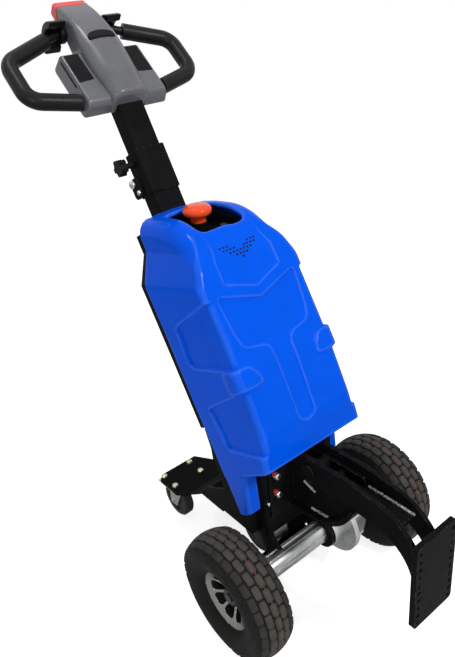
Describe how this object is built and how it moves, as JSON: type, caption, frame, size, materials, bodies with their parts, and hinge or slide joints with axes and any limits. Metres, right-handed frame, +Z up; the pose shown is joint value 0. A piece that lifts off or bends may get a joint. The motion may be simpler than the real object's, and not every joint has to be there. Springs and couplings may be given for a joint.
{
  "type": "electric tow tractor",
  "caption": "Walk-behind electric tug: leaning hollow cover, telescoping tiller with loop handles, driven axle, trailing castors and a swan-neck arm with a drilled tow plate.",
  "frame": {"origin": "on the floor at the middle of the length and of the track", "axes": "+X forwards to the tow plate, +Y to the left wheel, +Z up"},
  "size_m": [0.9772, 0.5042, 1.1689],
  "materials": {
    "blue_cover": "gloss moulded plastic",
    "black_steel": "satin black powder coat",
    "cast_aluminium": "bare cast and extruded aluminium",
    "tyre_rubber": "dark grey pneumatic tyre",
    "rim_paint": "black rim with a machined lip",
    "axle_steel": "turned steel",
    "grey_housing": "slate grey moulded plastic",
    "black_plastic": "satin black plastic",
    "red_tip": "coral red plastic",
    "stop_red": "gloss orange red",
    "battery_case": "dark battery case",
    "castor_steel": "zinc plated steel",
    "castor_rubber": "black castor tread"
  },
  "bodies": {
    "chassis": {"back_panel": "black_steel", "battery_tray": "black_steel", "battery_pack": "battery_case", "side_plate_left": "black_steel", "side_plate_right": "black_steel", "front_plate": "black_steel", "castor_deck": "black_steel", "hitch_bracket": "black_steel", "arm_plate_left": "black_steel", "arm_plate_right": "black_steel", "arm_web": "black_steel", "root_pin": "black_steel", "tow_plate": "black_steel", "cover": "blue_cover", "control_tray": "black_plastic", "emergency_stop": "stop_red", "key_switch": "black_plastic", "charge_socket": "black_plastic", "mast_tube": "black_steel", "mast_sleeve": "black_steel", "star_knob": "black_plastic", "axle_tube_left": "cast_aluminium", "axle_tube_right": "cast_aluminium", "gear_case": "cast_aluminium", "drive_motor": "black_steel", "motor_end": "cast_aluminium", "axle_hanger_left": "black_steel", "axle_hanger_right": "black_steel", "castor_plate_left": "castor_steel", "castor_plate_right": "castor_steel"},
    "tiller": {"upper_tube": "black_steel", "head_housing": "grey_housing", "tip_button": "red_tip", "rocker_switch": "black_plastic", "wing_left": "grey_housing", "wing_right": "grey_housing", "handle_loop_left": "black_plastic", "handle_loop_right": "black_plastic", "throttle_left": "black_plastic", "throttle_right": "black_plastic"},
    "wheel_left": {"tyre_left": "tyre_rubber", "rim_left": "rim_paint", "axle_shaft_left": "axle_steel"},
    "castor_fork_left": {"castor_fork_left": "castor_steel"},
    "castor_wheel_left": {"castor_wheel_left": "castor_rubber"},
    "wheel_right": {"tyre_right": "tyre_rubber", "rim_right": "rim_paint", "axle_shaft_right": "axle_steel"},
    "castor_fork_right": {"castor_fork_right": "castor_steel"},
    "castor_wheel_right": {"castor_wheel_right": "castor_rubber"}
  },
  "joints": [
    {"name": "tiller_slide", "type": "slide", "parent": "chassis", "child": "tiller", "axis": [-0.4695, 0, 0.8829], "range_m": [-0.07, 0.12]},
    {"name": "wheel_spin_left", "type": "hinge", "parent": "chassis", "child": "wheel_left", "pos_m": [0.18762, 0.205, 0.13], "axis": [0, 1, 0], "continuous": true},
    {"name": "castor_swivel_left", "type": "hinge", "parent": "chassis", "child": "castor_fork_left", "pos_m": [-0.16138, 0.086, 0.116], "axis": [0, 0, 1], "continuous": true},
    {"name": "castor_spin_left", "type": "hinge", "parent": "castor_fork_left", "child": "castor_wheel_left", "pos_m": [-0.19538, 0.086, 0.046], "axis": [0, 1, 0], "continuous": true},
    {"name": "wheel_spin_right", "type": "hinge", "parent": "chassis", "child": "wheel_right", "pos_m": [0.18762, -0.205, 0.13], "axis": [0, 1, 0], "continuous": true},
    {"name": "castor_swivel_right", "type": "hinge", "parent": "chassis", "child": "castor_fork_right", "pos_m": [-0.16138, -0.086, 0.116], "axis": [0, 0, 1], "continuous": true},
    {"name": "castor_spin_right", "type": "hinge", "parent": "castor_fork_right", "child": "castor_wheel_right", "pos_m": [-0.19538, -0.086, 0.046], "axis": [0, 1, 0], "continuous": true}
  ]
}
